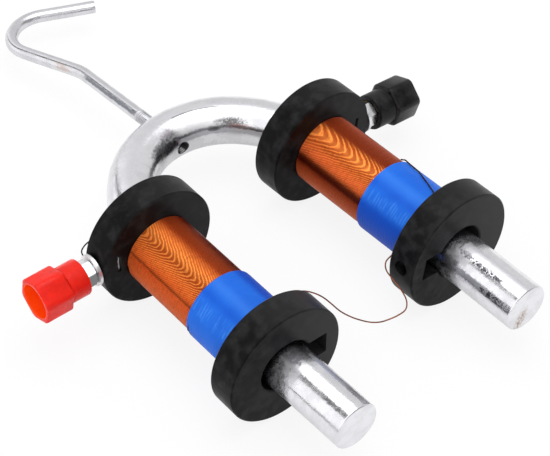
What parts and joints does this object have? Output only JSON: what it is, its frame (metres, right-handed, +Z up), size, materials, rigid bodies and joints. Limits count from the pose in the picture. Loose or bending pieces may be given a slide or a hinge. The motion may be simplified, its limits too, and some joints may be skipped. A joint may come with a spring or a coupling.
{
  "type": "horseshoe electromagnet",
  "caption": "Horseshoe electromagnet: a plated round iron bar bent to a U, with taped copper coils on black bobbins, red and black screw terminals and a hanging hook.",
  "frame": {"origin": "midway between the centres of the two pole faces, on the level of the bar's axis", "axes": "+X from the left leg with the red terminal to the right leg with the black one, +Y along the legs from the pole faces to the bend and the hook, +Z up when the magnet lies on its coil flanges"},
  "size_m": [0.1365, 0.1951, 0.0364],
  "materials": {
    "plated_bar": "dull bright plate, mottled, with brown stains at the poles",
    "hook_wire": "bright plated wire with light brown stains",
    "bobbin_plastic": "satin black moulding",
    "left_copper": "orange enamelled copper",
    "right_copper": "red-brown enamelled copper",
    "blue_tape": "blue adhesive tape, finely ribbed",
    "nickel": "bright nickel plate",
    "brass": "machined brass",
    "red_plastic": "red moulding that lets some light through",
    "black_plastic": "black moulding"
  },
  "bodies": {
    "magnet": {"core": "plated_bar", "hook": "hook_wire", "left_bobbin": "bobbin_plastic", "right_bobbin": "bobbin_plastic", "left_winding": "left_copper", "right_winding": "right_copper", "left_tape": "blue_tape", "right_tape": "blue_tape", "left_stud": "nickel", "left_square_nut": "nickel", "left_washer": "nickel", "left_clamp_nut": "nickel", "right_stud": "nickel", "right_square_nut": "nickel", "right_washer": "nickel", "right_clamp_nut": "nickel", "left_start_lead": "left_copper", "right_start_lead": "right_copper", "link_wire": "right_copper"},
    "red_sleeve": {"red_insert": "brass"},
    "red_terminal": {"red_cap": "red_plastic"},
    "black_sleeve": {"black_insert": "brass"},
    "black_terminal": {"black_cap": "black_plastic"}
  },
  "joints": [
    {"name": "red_cap_advance", "type": "slide", "parent": "magnet", "child": "red_sleeve", "axis": [-0.9994, 0.0209, 0.0262], "range_m": [0, 0.0021]},
    {"name": "red_cap_turn", "type": "hinge", "parent": "red_sleeve", "child": "red_terminal", "pos_m": [-0.05286, 0.08637, 0.0011], "axis": [-0.9994, 0.0209, 0.0262], "range_deg": [0, 1080]},
    {"name": "black_cap_advance", "type": "slide", "parent": "magnet", "child": "black_sleeve", "axis": [0.9888, 0.0207, -0.1478], "range_m": [0, 0.0021]},
    {"name": "black_cap_turn", "type": "hinge", "parent": "black_sleeve", "child": "black_terminal", "pos_m": [0.05262, 0.08637, -0.00289], "axis": [0.9888, 0.0207, -0.1478], "range_deg": [0, 1080]}
  ],
  "couplings": [
    {"joint": "red_cap_turn", "follows": "red_cap_advance", "rad_per_m": 8975.9},
    {"joint": "black_cap_turn", "follows": "black_cap_advance", "rad_per_m": 8975.9}
  ]
}
